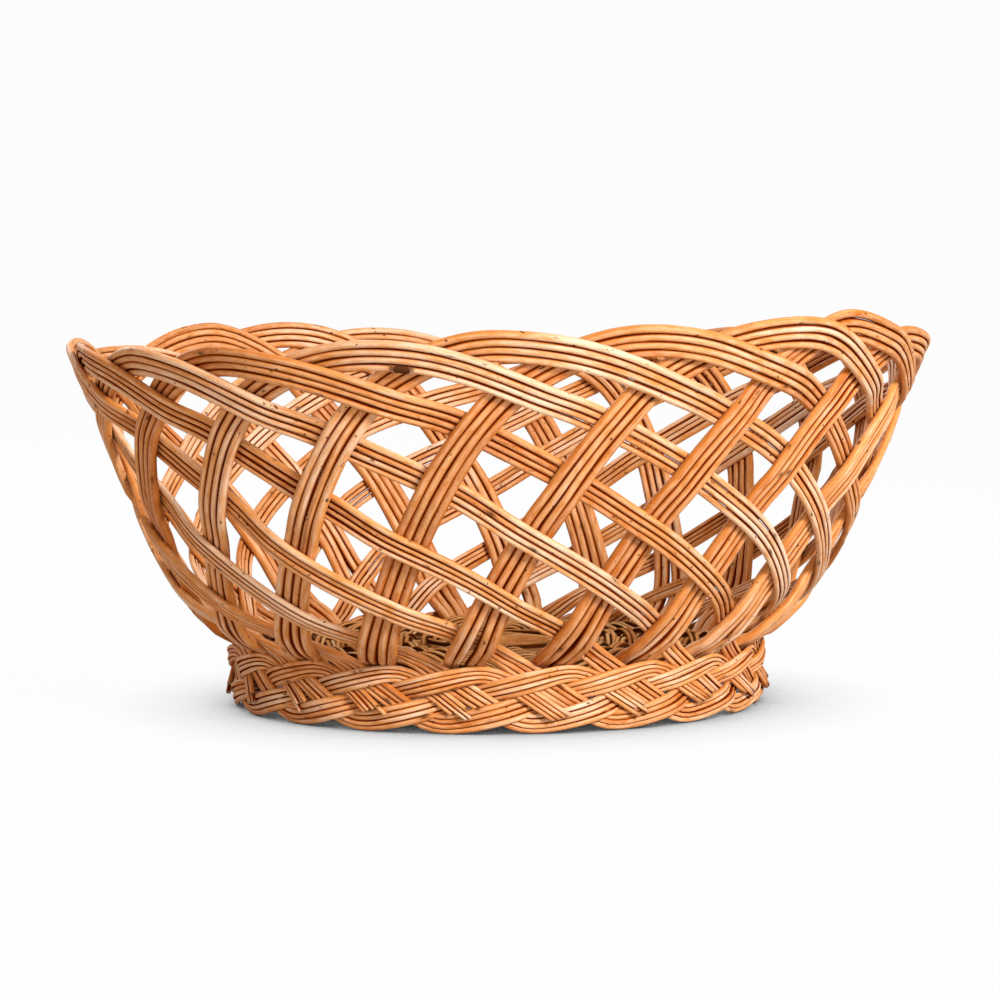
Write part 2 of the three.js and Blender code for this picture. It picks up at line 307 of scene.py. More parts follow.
    def _layers(self) -> Rows:
        """Return places along a strand with its distance from the middle of the weave.

        The lists count that distance in layers, outward, and the second one turns instead of places.
        """
        side = (self.thickness_at(0) + self.weave_gap) / 2
        late = self.thickness_at(self.run_end - 1)
        foot = (self.thickness_at(self.plait_start) + late) / 2 + self.weave_gap
        pitch = self.strand_turn * self.foot_radius
        band, tail = self.band_half_width / pitch, self.tail_half_width / pitch
        falls, tails = self.falls, self.tails
        root = [lerp(-self.root_count, -self.plait_start, share) for share in (0.15, 0.85)]
        on_side = [
            (self.run_start, 0.0), (-self.root_count, 0.0), (root[0], -1.2), (root[1], 1.0),
            (-6.84, 1.0), (-6.16, -0.7), (-4.84, -0.7), (-4.16, 0.7), (-2.88, 0.7), (-2.22, -0.7),
            (-0.7, -1.0), (0.7, 1.0), (2.18, 1.3), (2.82, -1.3), (4.16, -1.3), (4.84, 1.3), (6.16, 1.3),
            (6.84, -1.0), (self.plait_start, -1.0), (self.plait_start + 0.15, -1.3),
        ]
        in_foot = [
            (self.gap_turn - 0.05, 0.0), (self.bottom_turn + 0.14, 0.0), (self.bottom_turn + 0.28, 0.1),
            (falls[1] - band, 1.0), (falls[1] + band, 1.0), (tails[2] - tail, -1.0),
            (falls[2] + band, -1.0), (tails[1] - tail, 1.0), (falls[3] + band, 1.0),
            (tails[1] + 1 - tail, 0.0), (tails[1] + 1 + tail, 0.0), (tails[2] + 2 + tail, 1.1),
            (self.crest_turn + self.tail_end, 1.45),
        ]
        plait = self.plait_start - self.plait_turn
        return [(run, layer * side) for run, layer in on_side] + [
            (plait + turn, layer * foot) for turn, layer in in_foot
        ]

    def _spreads(self) -> Rows:
        """Return places along a strand with its width in rod thicknesses."""
        falls, tails = self.falls, self.tails
        on_side = [
            (-self.root_count, self.root_spread), (-self.plait_start, self.side_spread),
            (6.4, self.side_spread), (7.6, self.fall_spread),
        ]
        in_foot = [
            (self.bottom_turn, self.fall_spread), (falls[1], self.arc_spread),
            (falls[2], self.under_spread), ((tails[1] + falls[3]) / 2, self.arc_spread),
            (self.crest_turn - 0.1, self.fall_spread), (tails[1] + 1, self.under_spread),
            (self.crest_turn + self.tail_end, self.under_spread),
        ]
        plait = self.plait_start - self.plait_turn
        return on_side + [(plait + turn, spread) for turn, spread in in_foot]

    def point_at(self, run: float) -> RunPoint:
        """Return the middle line of a strand at a place."""
        if run < -self.root_count:
            inset = (-self.root_count - run) * self.root_rate
            return RunPoint(self.side_turn(-self.root_count), self.base_height, self.base_radius - inset)
        if run > self.plait_start:
            turn = self.plait_turn + run - self.plait_start
            height = self.plait_height(turn)
        else:
            turn = self.side_turn(run)
            height = self.side_height(run)
        if run < -self.plait_start:
            share = (run + self.root_count) / (self.root_count - self.plait_start)
            height = lerp(self.base_height, self.side_height(self.plait_start), share)
        return RunPoint(turn, height, self.radius_at(run, height))

    def place(self, point: RunPoint) -> Vector:
        """Return a run point in the basket's frame, for a strand with its crest at the front."""
        return polar(point.radius, point.turn * self.strand_turn, point.height)

    def _crossing_direction(self, run: float, here: RunPoint) -> Vector:
        """Return the direction of the strands that cross this one."""
        small = 0.01
        if run <= self.plait_start:
            sign = 1 if run < 0 else -1
            far = abs(run)
            turn = here.turn + self.side_turn(sign * (far - small)) - self.side_turn(sign * far)
            height = self.side_height(far - small)
            there = RunPoint(turn, height, self.falling_radius(height))
            here = replace(here, radius=self.falling_radius(here.height))
        else:
            turn = self.plait_turn + run - self.plait_start
            rising = self.bottom_turn + self.sole_turn < turn < self.crest_turn
            step = -small if rising else small
            slope = -self.foot_drop if rising else self.foot_rise
            there = RunPoint(here.turn + step, here.height + slope * step, here.radius)
        return self.place(there) - self.place(here)

    def _slant_at(self, run: float) -> float:
        """Return how far a cross-section leans along the crossing strands, 0 to 1."""
        if run < -self.plait_start:
            return 1 - smoothstep(-run, self.plait_start, self.root_count - 0.5)
        if run <= self.plait_start:
            return smoothstep(abs(run), 0.5, 2)
        turn = self.plait_turn + run - self.plait_start
        from_bottom = smoothstep(abs(turn - self.bottom_turn - 0.1), 0.15, 0.5)
        return min(from_bottom, smoothstep(abs(turn - self.crest_turn), 0.1, 0.35))

    def station(self, run: float) -> Station:
        """Return the cross-section of a strand at a place.

        Args:
            run: Place along the strand.

        Returns:
            The station, for a strand with its crest at the front.
        """
        step, rise, bend = 0.004, 0.05, 0.02
        here = self.point_at(run)
        angle = here.turn * self.strand_turn
        before = self.place(self.point_at(max(run - step, self.run_start)))
        after = self.place(self.point_at(min(run + step, self.run_end)))
        ahead = (after - before).normalized()
        if run < -self.root_count + bend:
            upward = polar(1, angle, 0)
        else:
            low, high = (
                polar(self.radius_at(run, height), angle, height)
                for height in (here.height - rise, here.height + rise)
            )
            upward = (high - low).normalized()
        outward = polar(1, angle + QUARTER, 0).cross(upward).normalized()
        across = outward.cross(ahead).normalized()
        along = self._crossing_direction(run, here)
        along = (along - outward * along.dot(outward)).normalized()
        along = along.lerp(across, 1 - self._slant_at(run))
        along /= along.dot(across)
        (layer,), (spread,) = eased(self.layers, run), eased(self.spreads, run)
        centre = self.place(here) + outward * layer
        return Station(run, centre, outward, along, self.thickness_at(run), spread, layer)

    def stations(self, step: float) -> list[Station]:
        """Return cross-sections all along a strand, about a step apart."""
        count = round((self.run_end - self.run_start) / step)
        return [self.station(lerp(self.run_start, self.run_end, k / count)) for k in range(count + 1)]


@dataclass(frozen=True)
class Value:
    """A shader socket that takes part in arithmetic."""

    shader: Shader
    socket: bpy.types.NodeSocket

    def _math(self, operation: str, first: Any, second: Any) -> Value:
        """Return a new Math node's result."""
        node = self.shader.node("Math", {0: first, 1: second}, operation=operation)
        return self.shader.output(node, 0)

    def __add__(self, other: Any) -> Value:
        """Add a value or a number."""
        return self._math("ADD", self, other)

    def __sub__(self, other: Any) -> Value:
        """Take a value or a number away."""
        return self._math("SUBTRACT", self, other)

    def __rsub__(self, other: Any) -> Value:
        """Take from a number."""
        return self._math("SUBTRACT", other, self)

    def __mul__(self, other: Any) -> Value:
        """Multiply by a value or a number."""
        return self._math("MULTIPLY", self, other)

    __radd__ = __add__
    __rmul__ = __mul__

    def larger(self, other: Any) -> Value:
        """Return the larger of this value and another."""
        return self._math("MAXIMUM", self, other)

    def rise(self, low: float, high: float) -> Value:
        """Return 0 below low, 1 above high and a smooth rise between."""
        sockets = {"Value": self, "From Min": low, "From Max": high}
        node = self.shader.node("MapRange", sockets, interpolation_type="SMOOTHSTEP")
        return self.shader.output(node, 0)


class Shader:
    """The node tree of one material, or of the world."""

    def __init__(self, owner: bpy.types.Material | bpy.types.World) -> None:
        """Start an empty tree."""
        self.owner = owner
        owner.use_nodes = True
        self.tree = owner.node_tree
        self.tree.nodes.clear()

    def node(
        self, kind: str, sockets: Mapping[Any, Any] | None = None, **settings: Any
    ) -> bpy.types.Node:
        """Add a node.

        Args:
            kind: The node's type, without the words Shader Node.
            sockets: Values or links by socket name, identifier or number.
            **settings: Properties of the node, which are set first.

        Returns:
            The new node.
        """
        node = self.tree.nodes.new(f"ShaderNode{kind}")
        for name, setting in settings.items():
            setattr(node, name, setting)
        for key, value in (sockets or {}).items():
            socket = self._find(node.inputs, key)
            if isinstance(value, Value):
                self.tree.links.new(value.socket, socket)
            else:
                socket.default_value = value
        return node

    @staticmethod
    def _find(sockets: Any, key: Any) -> bpy.types.NodeSocket:
        """Return a socket by identifier, or else by number or name."""
        return next((socket for socket in sockets if socket.identifier == key), None) or sockets[key]

    def output(self, node: bpy.types.Node, key: Any) -> Value:
        """Return one of a node's outputs."""
        return Value(self, self._find(node.outputs, key))

    def attribute(self, name: str, output: str) -> Value:
        """Return an attribute of the mesh."""
        return self.output(self.node("Attribute", attribute_name=name), output)

    def noise(self, place: Value, scale: Colour, detail: float, roughness: float = 0.55) -> Value:
        """Return noise from 0 to 1 over a place.

        Args:
            place: The vector that the noise follows.
            scale: Waves to the metre along each axis of the place.
            detail: Number of finer layers.
            roughness: Strength of the finer layers.

        Returns:
            The noise.
        """
        scaled = self.output(self.node("VectorMath", {0: place, 1: scale}, operation="MULTIPLY"), 0)
        sockets = {"Vector": scaled, "Scale": 1.0, "Detail": detail, "Roughness": roughness}
        return self.output(self.node("TexNoise", sockets), 0)

    def ramp(self, factor: Value, stops: Sequence[tuple[float, Colour]]) -> Value:
        """Return a colour from a ramp of positions and colours."""
        node = self.node("ValToRGB", {"Fac": factor})
        elements = node.color_ramp.elements
        while len(elements) < len(stops):
            elements.new(1.0)
        for element, (position, colour) in zip(elements, stops):
            element.position = position
            element.color = (*colour, 1)
        return self.output(node, "Color")

    def mix(self, factor: Value, first: Value, second: Colour) -> Value:
        """Return a mix of two colours."""
        sockets = {"Factor_Float": factor, "A_Color": first, "B_Color": (*second, 1)}
        return self.output(self.node("Mix", sockets, data_type="RGBA"), "Result_Color")

    def seen(self) -> Value:
        """Return 1 for rays from the eye, also by way of a mirror or glass, and 0 for light."""
        rays = self.node("LightPath")
        seen = self.output(rays, "Is Camera Ray") + self.output(rays, "Is Glossy Ray")
        return seen + self.output(rays, "Is Transmission Ray")

    def surface(self, shader: bpy.types.Node) -> Any:
        """Send a shader node to the output and return the material or the world."""
        kind = "World" if isinstance(self.owner, bpy.types.World) else "Material"
        self.node(f"Output{kind}", {"Surface": self.output(shader, 0)})
        return self.owner


class RodPart(Enum):
    """The three faces that a rod shows, as material numbers."""

    SKIN = 0
    CUT = 1
    PITH = 2


@dataclass(frozen=True)
class WillowFinish:
    """Peeled willow under clear varnish, streaked along the rod.

    Attributes:
        name: Name of the material, and of its slot in the record.
        brown: Colour of the darkest rods, and of the painted shade towards the sides where rods meet.
        golden: Colour of most rods.
        pale: Colour of the lightest rods, and of the painted highlight along the crown of each rod.
        groove_shade: Colour of the painted shade between rods that lie side by side, also given to
            hairline cracks.
        speck: Colour of bud scars and specks.
        roughness: Roughness of the rod under its varnish.
        varnish: Weight of the varnish coat.
    """

    name: str
    brown: Colour
    golden: Colour
    pale: Colour
    groove_shade: Colour
    speck: Colour
    roughness: float
    varnish: float

    def material(self) -> bpy.types.Material:
        """Return the material of the rod's skin."""
        shader = Shader(bpy.data.materials.new(self.name))
        place = shader.attribute("rod_place", "Vector")
        marks = shader.node("SeparateColor", {0: shader.attribute("rod_mark", "Color")})
        # The mark's channels: the rod's tone, its crown where the painted highlight runs, and bud
        # strength.
        tone, crown_highlight, bud = (shader.output(marks, k) for k in range(3))
        # Painted shade where the rod faces a neighbouring rod.
        groove_shade = shader.attribute("rod_mark", "Alpha")
        blotch = shader.noise(place, (60, 60, 17), 2)
        grain = shader.noise(place, (560, 560, 24), 3)
        fibre = shader.noise(place, (1900, 1900, 70), 2)
        fleck = shader.noise(place, (520, 520, 300), 2)
        check = shader.noise(place, (1000, 1000, 14), 2)
        # Mottling of the wood's own tone, which also sets the patches of the painted highlight.
        mottle_and_sheen = shader.noise(place, (650, 650, 150), 3, 0.65)
        # The tone from the mesh holds each rod's own tone with painted light and shade by leg and by
        # layer added; the noises add the wood's own blotches, grain and streaks.
        shade = tone + (blotch - 0.5) * 1.1 + (grain - 0.5) * 0.8 + (fibre - 0.5) * 0.45
        shade = shade + (mottle_and_sheen - 0.5) * 0.8
        # Painted shade towards the sides where rods meet, wide and warm, with the varnish thinned there.
        edge = groove_shade.rise(0.0, 0.45)
        spot = fleck.rise(0.69, 0.73) * 0.85
        scar = bud.rise(0.0, 1.0) * fleck.rise(0.36, 0.5) * 0.85
        scar = scar.larger(bud.rise(1.0, 1.5))
        wood = shader.ramp(shade, [(0.05, self.brown), (0.5, self.golden), (0.95, self.pale)])
        for factor, colour in (
            # Painted highlight: the pale colour along the crown of each rod, in patches.
            (crown_highlight.rise(0.7, 1.0) * mottle_and_sheen.rise(0.3, 0.6) * 0.25, self.pale),
            # Painted shade: a warm darkening towards the sides where rods meet, then a dark line between
            # them.
            (edge * 0.6, self.brown),
            (groove_shade.rise(0.1, 0.7) * (0.8 + grain * 0.35), self.groove_shade),
            # Hairline cracks in the wood, in the same dark colour.
            (check.rise(0.64, 0.73) * 0.55, self.groove_shade),
            (scar, self.speck),
            (spot, self.speck),
        ):
            wood = shader.mix(factor, wood, colour)
        height = fibre * 0.6 + grain + bud * 0.8
        bump = shader.node("Bump", {"Strength": 0.35, "Distance": 0.00025, "Height": height})
        return shader.surface(shader.node("BsdfPrincipled", {
            "Base Color": wood,
            "Roughness": self.roughness + (grain - 0.5) * 0.2 + groove_shade * 0.15,
            "Specular IOR Level": 0.0,
            "Coat Weight": self.varnish * (1 - edge) * (1 - scar) * (1 - spot),
            "Coat Roughness": 0.38,
            "Normal": shader.output(bump, "Normal"),
        }))


@dataclass(frozen=True)
class CutFinish:
    """End grain of a cut rod, or the pith at its middle, in two colours."""

    name: str
    light: Colour
    dark: Colour

    def material(self) -> bpy.types.Material:
        """Return the material of the cut face."""
        shader = Shader(bpy.data.materials.new(self.name))
        place = shader.output(shader.node("TexCoord"), "Object")
        grain = shader.noise(place, (900, 900, 900), 3)
        return shader.surface(shader.node("BsdfPrincipled", {
            "Base Color": shader.ramp(grain.rise(0.3, 0.7), [(0.0, self.dark), (1.0, self.light)]),
            "Roughness": 0.75 + grain * 0.2,
        }))


@dataclass(frozen=True)
class Wobble:
    """A slow wander along a rod, the same each run: its size, and the rates and phases of its waves."""

    size: float
    waves: Rows

    @classmethod
    def drawn(cls, draw: random.Random, size: float, pace: float) -> Wobble:
        """Return a wander drawn at random, of a size and about a pace."""
        return cls(size, [
            (pace * factor * draw.uniform(0.8, 1.25), draw.uniform(0, 2 * math.pi))
            for factor in (0.6, 1.4, 3.1)
        ])

    def at(self, place: float) -> float:
        """Return the wander at a place."""
        total = sum(math.sin(rate * place + phase) for rate, phase in self.waves)
        return self.size * total / len(self.waves)


@dataclass
class RodRun:
    """The path of one rod, in millimetres.

    Attributes:
        points: Middle line.
        normals: Directions that the rod's outer side faces.
        radii: Half thicknesses.
        paleness: Tone gained at each point: painted light on the falling legs of side strands and
            painted shade on their rising legs, and the wood's own tint on the weavers.
        layer_shading: Painted light gained on the outer side of each point and painted shade on the
            inner side, by how far the rod lies over or under others.
        knots: Numbers of the points with a knot on the outer side.
    """

    points: Sequence[Vector]
    normals: Sequence[Vector]
    radii: Sequence[float]
    paleness: Sequence[float]
    layer_shading: Sequence[float]
    knots: Sequence[int] = ()

    @classmethod
    def level(cls, points: Sequence[Vector], radius: float) -> RodRun:
        """Return the path of an even rod in one tone, whose outer side faces up."""
        count = len(points)
        return cls(points, [UP] * count, [radius] * count, [0.0] * count, [0.0] * count)

    def relaxed(self, passes: int) -> RodRun:
        """Return the run with its bends rounded, ends kept."""
        points = [point.copy() for point in self.points]
        for _ in range(passes):
            triples = zip(points, points[1:], points[2:])
            inner = [(before + 2 * here + after) / 4 for before, here, after in triples]
            points = [points[0], *inner, points[-1]]
        return replace(self, points=points)

    def lengths(self) -> list[float]:
        """Return the length of the rod up to each point."""
        spans = ((after - before).length for before, after in zip(self.points, self.points[1:]))
        return list(accumulate(spans, initial=0.0))

    def frames(self) -> list[tuple[Vector, Vector, Vector]]:
        """Return the sideways, outward and forward directions at each point."""
        last = len(self.points) - 1
        frames = []
        for k, normal in enumerate(self.normals):
            ahead = self.points[min(k + 1, last)] - self.points[max(k - 1, 0)]
            ahead.normalize()
            side = normal.cross(ahead).normalized()
            frames.append((side, ahead.cross(side), ahead))
        return frames


@dataclass(frozen=True)
class RodMark:
    """What sets one rod apart from the next.

    Attributes:
        tone: Place in the finish's colours, 0 dark to 1 pale.
        grooves: Whether another rod lies against the side before and the side after, where painted shade
            then goes.
        seed: Start of the rod's own random draws.
        slant: Slope of the cut ends.
    """

    tone: float
    grooves: tuple[bool, bool]
    seed: int
    slant: float = 0.4


@dataclass(frozen=True)
class Bud:
    """A bud scar or a knot, by its distance along the rod in mm, its angle and its size beside a scar.

    It is strongest in its core, gone at its edge, and stretched along the rod.
    """

    along: float
    turn: float
    size: float = 1.0
    core: float = 0.3
    edge: float = 1.5
    stretch: float = 1.6

    def strength_at(self, length: float, turn: float, radius: float) -> float:
        """Return its strength at a place on the skin, from 0 to its size."""
        along = (self.along - length) / self.stretch
        if abs(along) >= self.edge * self.size:
            return 0.0
        round_off = math.remainder(turn - self.turn, 2 * math.pi) * radius
        far = math.hypot(along, round_off) / self.size
        return self.size * (1 - smoothstep(far, self.core, self.edge))


class RodBundle:
    """Round rods gathered in one mesh."""

    first_bud: Span = (8, 50)
    bud_steps: Span = (28, 75)
    knot_size = 2.2
    bud_swell = 0.13
    pith_inset = 0.62
    # Facing towards a neighbouring rod over which the painted shade between rods rises.
    groove_edges: Span = (0.58, 0.92)
    cut_skew = 0.6
    weld = 1e-8

    def __init__(self, name: str, sides: int) -> None:
        """Start an empty bundle.

        Args:
            name: Name of the piece.
            sides: Faces round each rod.
        """
        self.name = name
        self.sides = sides
        self.mesh = bmesh.new()
        self.place = self.mesh.verts.layers.float_vector.new("rod_place")
        self.mark = self.mesh.verts.layers.float_color.new("rod_mark")

    def add(self, run: RodRun, mark: RodMark) -> None:
        """Roll a sheet into a rod along a path and close its ends.

        Args:
            run: The rod's path.
            mark: What sets the rod apart.
        """
        draw = random.Random(mark.seed)
        spans = len(run.points) - 1
        grid = bmesh.ops.create_grid(self.mesh, x_segments=spans, y_segments=self.sides, size=0.5)
        sheet = grid["verts"]
        frames = run.frames()
        lengths = run.lengths()
        start = draw.uniform(0, 5)
        buds = self._buds(draw, lengths[-1])
        buds += [Bud(lengths[k], QUARTER, self.knot_size) for k in run.knots]
        swell = Wobble.drawn(draw, size=0.05, pace=0.09)
        for vert in sheet:
            k = round((vert.co.x + 0.5) * spans)
            turn = 2 * math.pi * round((vert.co.y + 0.5) * self.sides) / self.sides
            side, outward, ahead = frames[k]
            cosine, sine = math.cos(turn), math.sin(turn)
            bud = max((scar.strength_at(lengths[k], turn, run.radii[k]) for scar in buds), default=0.0)
            radius = run.radii[k] * (1 + swell.at(lengths[k]) + self.bud_swell * bud)
            spot = run.points[k] + (side * cosine + outward * sine) * radius
            if k in (0, spans):
                spot += ahead * radius * mark.slant * (sine + self.cut_skew * cosine)
            vert.co = spot * MM
            vert[self.place] = Vector((cosine * radius, sine * radius, lengths[k])) * MM
            vert[self.place].z += start
            # Painted shade goes on a side that faces a neighbouring rod.
            facing = max(0.0, -cosine * mark.grooves[0], cosine * mark.grooves[1])
            # Painted light and shade by leg and by layer join the rod's own tone; the layer's share is
            # gained on the outer side and lost on the inner side.
            tone = mark.tone + (run.paleness[k] + run.layer_shading[k] * sine)
            # The second channel marks the crown of the rod, where the painted highlight runs.
            vert[self.mark] = (tone, abs(sine), bud, smoothstep(facing, *self.groove_edges))
        bmesh.ops.remove_doubles(self.mesh, verts=sheet, dist=self.weld)
        self._close([vert for vert in sheet if vert.is_valid])

    def _buds(self, draw: random.Random, length: float) -> list[Bud]:
        """Return the bud scars of a rod."""
        buds = []
        at = draw.uniform(*self.first_bud)
        while at < length:
            buds.append(Bud(at, draw.uniform(0, 2 * math.pi)))
            at += draw.uniform(*self.bud_steps)
        return buds

    def _close(self, verts: Sequence[bmesh.types.BMVert]) -> None:
        """Shade a rod smooth, and close its two ends with a cut face and a pith."""
        for face in (face for vert in verts for face in vert.link_faces):
            face.smooth = True
        rims = dict.fromkeys(edge for vert in verts for edge in vert.link_edges if edge.is_boundary)
        for cap in bmesh.ops.edgeloop_fill(self.mesh, edges=list(rims))["faces"]:
            cap.smooth = False
            cap.material_index = RodPart.CUT.value
            inset = math.sqrt(cap.calc_area() / math.pi) * self.pith_inset
            bmesh.ops.inset_individual(self.mesh, faces=[cap], thickness=inset)
            cap.material_index = RodPart.PITH.value

    def finish(self, materials: Materials, slot: str, node: str) -> None:
        """Let the bundle stand for a solid of the frame.

        Args:
            materials: Skin, cut face and pith.
            slot: The record's material slot. Not used.
            node: The solid that it stands for.
        """
        bmesh.ops.recalc_face_normals(self.mesh, faces=self.mesh.faces)
        piece = add_mesh(self.name, self.mesh, materials)
        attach(piece, BODY)
        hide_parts(node)
        LOG.info("%s: %d faces", piece.name, len(piece.data.polygons))


class Stray(NamedTuple):
    """How far the hand-made side strays from its plan at one angle.

    Attributes:
        degrees: Angle from the front, positive to the right.
        lift: Height gained at the rim, in millimetres.
        turn: Degrees moved to the right at the rim.
        sag: Height lost low on the side, in millimetres.
    """

    degrees: float
    lift: float
    turn: float
    sag: float


@dataclass(frozen=True)
class Habit:
    """What sets one strand apart from the next.

    Attributes:
        girth: Thickness of its rods, 1 as planned.
        parting: Half of the gap between its two pairs of roots, in millimetres.
        flare: Distance that its cut tail stands off, in millimetres.
        tone: Place in the finish's colours, 0 dark to 1 pale.
    """

    girth: float
    parting: float
    flare: float
    tone: float

    @classmethod
    def drawn(cls, draw: random.Random) -> Habit:
        """Return a habit drawn at random."""
        spans = ((0.95, 1.06), (0.3, 1.4), (0.0, 1.6), (0.3, 0.56))
        return cls(*(draw.uniform(*span) for span in spans))


@dataclass
class SideStrands:
    """The strands of the side, rim and foot: tapered rods with a skin, cut faces and a pith.

    The rim leans to the right and splays out past the plan, and the side swells out above the foot, all
    in millimetres. Cross-sections are a step apart, in crossings. Knots that stand out are given by
    strand from 1 and rod from 0, with their places along the strand.
    """

    plan: WeavePlan
    materials: Materials
    strays: Sequence[Stray]
    knots: Mapping[tuple[int, int], float]
    rods: int = 4
    sides: int = 16
    step: float = 0.1
    lean: float = 1.4
    swell: float = 1.0
    swell_height: float = 50.0
    swell_reach: float = 14.0
    splay: float = 1.2
    seed: int = 41
    # Stretches of a strand on which its rods come free of the base, close up, pass the crest and gather.
    freed: Span = (-7.4, -6.4)
    closed: Span = (-7.3, -6.0)
    crested: Span = (-1.5, 1.5)
    gathered: Span = (6.6, 7.6)
    # Radius of a rod beside the thickness, in the foot beside the pitch, and how rods bunch there.
    fill: float = 0.525
    foot_fill: float = 0.53
    bunching: float = 0.12
    # Length of a flaring tail, and how far a rod at the floor gives way inward.
    flare_run: float = 0.6
    give: float = 0.9
    # Painted light on falling strands and painted shade on rising ones, and the painted light gained for
    # each millimetre outward.
    leg_light: Span = (-0.04, 0.08)
    layer_shading_rate: float = 0.07

    def _by_hand(self, spot: Vector) -> Vector:
        """Return a point of the plan where the uneven hand-made side has it."""
        share = self.plan.climb(spot.z)
        # The sag is largest a third of the way up, where low is 1.
        low = 6.75 * share * max(0.0, 1 - share) ** 2
        lift, turn, sag = eased(self.strays, math.degrees(math.atan2(spot.x, -spot.y)))
        moved = turning(math.radians(turn) * share) @ spot
        bulge = self.swell * math.exp(-(((spot.z - self.swell_height) / self.swell_reach) ** 2))
        bulge += self.splay * share**2
        moved += Vector((moved.x, moved.y, 0)).normalized() * bulge
        moved.x += self.lean * share
        moved.z += share * lift - low * sag
        return moved

    def _rod_run(
        self,
        stations: Sequence[Station],
        rod: int,
        angle: float,
        knot: float | None,
        habit: Habit,
        draw: random.Random,
    ) -> RodRun:
        """Return the path of one rod of a strand.

        Args:
            stations: Cross-sections of the strand with its crest at the front.
            rod: Number of the rod in its strand.
            angle: Angle of the strand's crest from the front.
            knot: Place of the rod's knot along the strand, if it has one.
            habit: What sets the strand apart.
            draw: Random draws of this strand.

        Returns:
            The rod's path.
        """
        place = rod - (self.rods - 1) / 2
        aside = Wobble.drawn(draw, size=0.22, pace=1.1)
        lift = Wobble.drawn(draw, size=0.22, pace=0.9)
        girth = habit.girth * draw.uniform(0.96, 1.07)
        last = self.plan.run_end - draw.uniform(0.0, 0.2)
        first = self.plan.run_start + draw.uniform(0.0, 0.12)
        bunch = self.bunching if rod % 2 else -self.bunching
        turned = turning(angle)
        rows, knotted = [], []
        for station in stations:
            run, thickness = station.run, station.thickness
            if not first <= run <= last:
                continue
            if knot is not None and abs(run - knot) < self.step / 2:
                knotted.append(len(rows))
            free = smoothstep(run, *self.freed)
            rooted = 1 - smoothstep(run, *self.closed)
            foot = smoothstep(run, *self.gathered)
            falling = smoothstep(run, *self.crested) * (1 - foot)
            pitch = thickness * station.spread / self.rods
            radius = girth * lerp(self.fill * thickness, self.foot_fill * pitch, foot)
            offset = place * pitch + aside.at(run) * free * (1 - 0.5 * foot)
            offset += math.copysign(habit.parting * rooted, place)
            out = lift.at(run) * free + bunch * thickness * foot
            out += habit.flare * smoothstep(run, last - self.flare_run, last)
            spot = station.centre + station.across * offset + station.outward * out
            low = radius - spot.z
            if low > 0:
                spot.z = radius
                spot -= station.outward * low * self.give
            point, normal = self._by_hand(turned @ spot), turned @ station.outward
            # Painted light on the falling leg and painted shade on the rising one, and painted shading
            # by the strand's layer in the weave.
            tone, layer_shading = lerp(*self.leg_light, falling), self.layer_shading_rate * station.layer
            rows.append((point, normal, radius, tone, layer_shading))
        return RodRun(*zip(*rows), knots=knotted).relaxed(3)

    def build(self) -> None:
        """Make every strand."""
        stations = self.plan.stations(self.step)
        for number in range(self.plan.strand_count):
            name = f"side_strand_{number + 1:02d}"
            draw = random.Random(self.seed + number)
            bundle = RodBundle(f"rods_{name}", self.sides)
            habit = Habit.drawn(draw)
            angle = math.radians(self.plan.first_crest_degrees) + number * self.plan.strand_turn
            for rod in range(self.rods):
                knot = self.knots.get((number + 1, rod))
                run = self._rod_run(stations, rod, angle, knot, habit, draw)
                bundle.add(run, RodMark(
                    tone=habit.tone + draw.uniform(-0.13, 0.13),
                    grooves=(rod > 0, rod < self.rods - 1),
                    seed=draw.randrange(SEEDS),
                    slant=draw.uniform(0.2, 0.7),
                ))
            bundle.finish(self.materials, SIDE_WILLOW.name, name)


